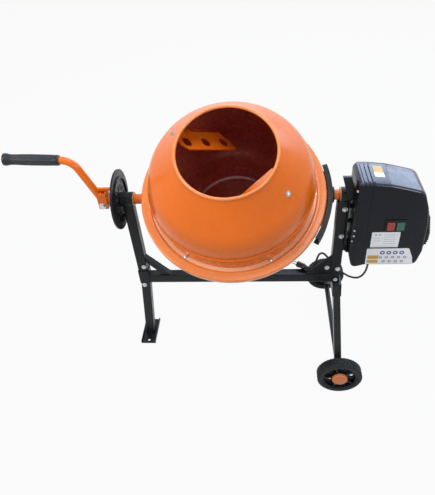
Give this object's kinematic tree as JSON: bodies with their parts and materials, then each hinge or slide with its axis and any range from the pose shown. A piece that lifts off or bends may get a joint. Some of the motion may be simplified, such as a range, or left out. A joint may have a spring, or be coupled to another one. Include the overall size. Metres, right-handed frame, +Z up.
{
  "type": "concrete mixer",
  "caption": "Small electric concrete mixer with an orange tilting drum, crank handle with locking disc, wheeled black stand and motor housing.",
  "frame": {"origin": "on the floor, in the middle of the mixer from side to side and from front to back", "axes": "+X towards the motor housing, +Y to the back, +Z up"},
  "size_m": [1.3841, 0.5918, 1.0249],
  "materials": {
    "orange_paint": "gloss",
    "black_paint": "satin",
    "zinc_steel": "satin",
    "cast_iron": "matte",
    "aluminium": "satin",
    "bronze": "satin",
    "tyre_rubber": "matte",
    "grip_rubber": "satin",
    "belt_rubber": "matte",
    "cord_rubber": "matte",
    "black_plastic": "matte",
    "housing_plastic": "gloss",
    "orange_plastic": "satin",
    "white_plastic": "satin",
    "red_plastic": "satin",
    "green_plastic": "satin",
    "label_film": "satin"
  },
  "bodies": {
    "stand": {"crossbar": "black_paint", "left_post": "black_paint", "right_post": "black_paint", "left_leg": "black_paint", "foot_plate": "black_paint", "left_brace": "black_paint", "right_gusset": "black_paint", "leg_bracket": "black_paint", "front_wheel_leg": "black_paint", "rear_wheel_leg": "black_paint", "wheel_axle": "zinc_steel", "frame_bolts": "zinc_steel", "axis_bearings": "black_paint", "bearing_bushes": "bronze", "locking_disc": "black_paint", "drive_belt": "belt_rubber", "motor": "aluminium", "motor_bracket": "black_paint", "capacitor": "white_plastic", "housing_back": "housing_plastic", "housing_cover": "housing_plastic", "switch_box": "black_plastic", "label_plates": "label_film", "cord_gland": "black_plastic", "power_cord": "cord_rubber", "cord_plug": "black_plastic"},
    "front_wheel": {"front_tyre": "tyre_rubber", "front_rim": "black_plastic", "front_hub_cap": "orange_plastic"},
    "rear_wheel": {"rear_tyre": "tyre_rubber", "rear_rim": "black_plastic", "rear_hub_cap": "orange_plastic"},
    "yoke_assembly": {"yoke": "orange_paint", "yoke_shaft": "zinc_steel", "shaft_nut": "zinc_steel", "shaft_bushes": "bronze", "gear_guard": "black_plastic", "handle_clevis": "orange_paint", "handle_pin": "zinc_steel", "handle_spring": "zinc_steel"},
    "handle": {"handle_tube": "orange_paint", "handle_grip": "grip_rubber", "lock_pawl": "orange_paint"},
    "drum": {"drum_basin": "orange_paint", "drum_cone": "orange_paint", "ring_cover": "orange_paint", "ring_gear": "cast_iron", "ring_bolts": "zinc_steel", "drum_hub": "cast_iron", "drum_bearings": "zinc_steel", "hub_cover": "zinc_steel", "left_paddle": "orange_paint", "right_paddle": "orange_paint", "paddle_bolts": "zinc_steel"},
    "pinion_assembly": {"pinion": "cast_iron", "pinion_shaft": "zinc_steel", "drive_pulley": "aluminium"},
    "rotor": {"motor_rotor": "zinc_steel"},
    "stop_switch": {"stop_button": "red_plastic"},
    "start_switch": {"start_button": "green_plastic"}
  },
  "joints": [
    {"name": "drum_tilt", "type": "hinge", "parent": "stand", "child": "yoke_assembly", "pos_m": [0.04858, 0, 0.692], "axis": [1, 0, 0], "range_deg": [-30, 120]},
    {"name": "drum_spin", "type": "hinge", "parent": "yoke_assembly", "child": "drum", "pos_m": [0.04858, 0, 0.692], "axis": [0, -0.5, 0.866], "continuous": true},
    {"name": "pinion_spin", "type": "hinge", "parent": "yoke_assembly", "child": "pinion_assembly", "pos_m": [0.33358, 0, 0.692], "axis": [1, 0, 0], "continuous": true},
    {"name": "rotor_spin", "type": "hinge", "parent": "stand", "child": "rotor", "pos_m": [0.50258, 0, 0.527], "axis": [1, 0, 0], "continuous": true},
    {"name": "handle_release", "type": "hinge", "parent": "yoke_assembly", "child": "handle", "pos_m": [-0.39442, 0, 0.68], "axis": [0, 1, 0], "range_deg": [-8, 4]},
    {"name": "front_wheel_spin", "type": "hinge", "parent": "stand", "child": "front_wheel", "pos_m": [0.41508, -0.266, 0.08], "axis": [0, 1, 0], "continuous": true},
    {"name": "rear_wheel_spin", "type": "hinge", "parent": "stand", "child": "rear_wheel", "pos_m": [0.41508, 0.266, 0.08], "axis": [0, 1, 0], "continuous": true},
    {"name": "stop_press", "type": "slide", "parent": "stand", "child": "stop_switch", "axis": [0, 1, 0], "range_m": [0, 0.0025], "stiffness_N_per_m": 400},
    {"name": "start_press", "type": "slide", "parent": "stand", "child": "start_switch", "axis": [0, 1, 0], "range_m": [0, 0.0025], "stiffness_N_per_m": 400}
  ],
  "couplings": [
    {"joint": "pinion_spin", "follows": "drum_spin", "ratio": -13},
    {"joint": "rotor_spin", "follows": "drum_spin", "ratio": -58.76}
  ]
}
